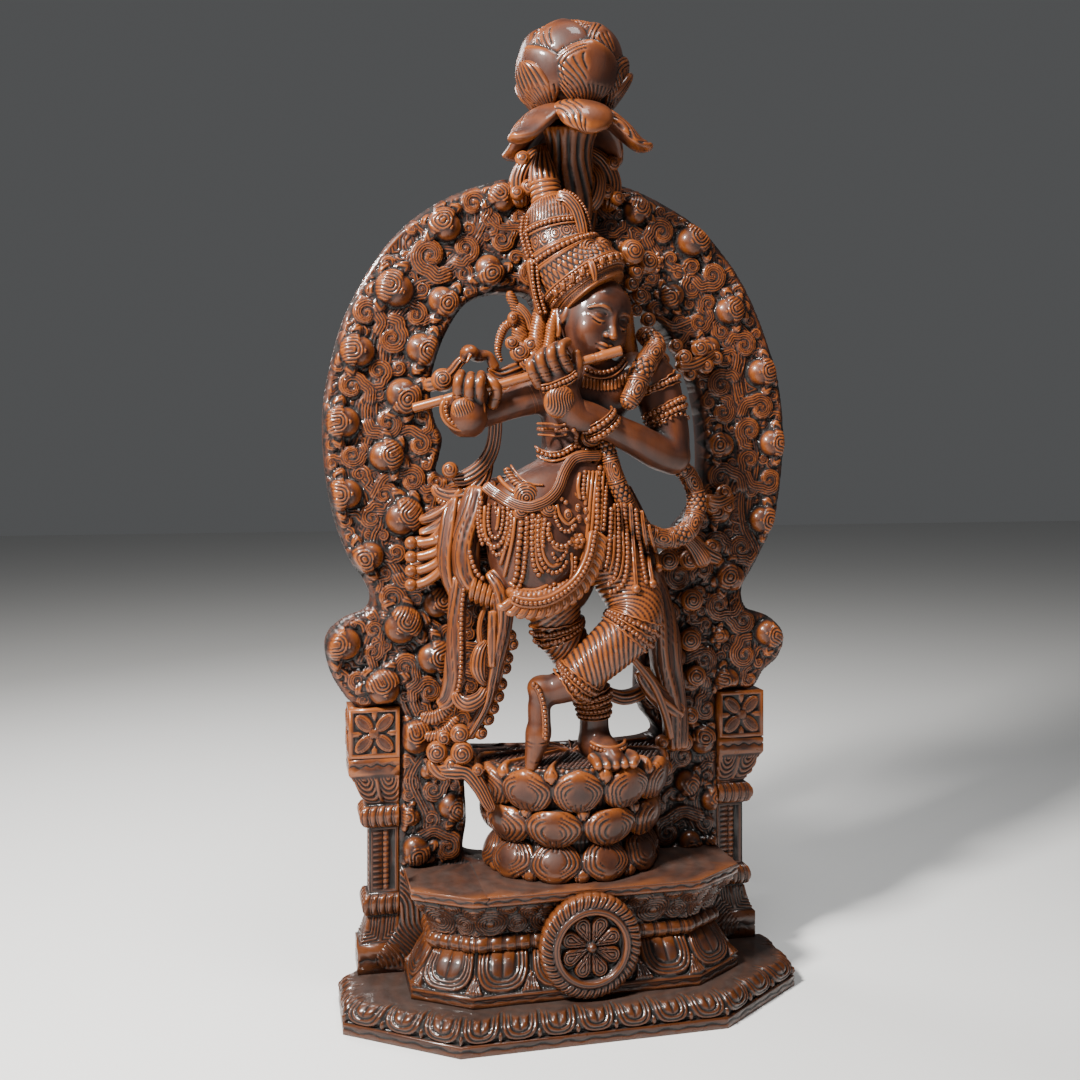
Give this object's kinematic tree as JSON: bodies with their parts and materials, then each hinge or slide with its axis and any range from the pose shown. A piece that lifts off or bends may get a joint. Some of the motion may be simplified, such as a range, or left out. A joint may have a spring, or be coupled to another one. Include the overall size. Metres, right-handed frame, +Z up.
{
  "type": "krishna figure",
  "caption": "Carved wooden figure of Krishna playing a flute on a lotus seat, inside a foliage arch with side pillars, on a stepped plinth with a wheel.",
  "frame": {"origin": "middle of the footprint's bounding box, on the floor", "axes": "+Z up, the front faces -Y, +X to the viewer's right"},
  "size_m": [0.9082, 0.317, 1.83],
  "materials": {
    "carved_wood": "dark stained and varnished, glossy on the high places"
  },
  "bodies": {
    "root": {"base": "carved_wood", "pedestal": "carved_wood", "wheel": "carved_wood", "pillar_left": "carved_wood", "pillar_right": "carved_wood", "carving": "carved_wood"}
  },
  "joints": []
}
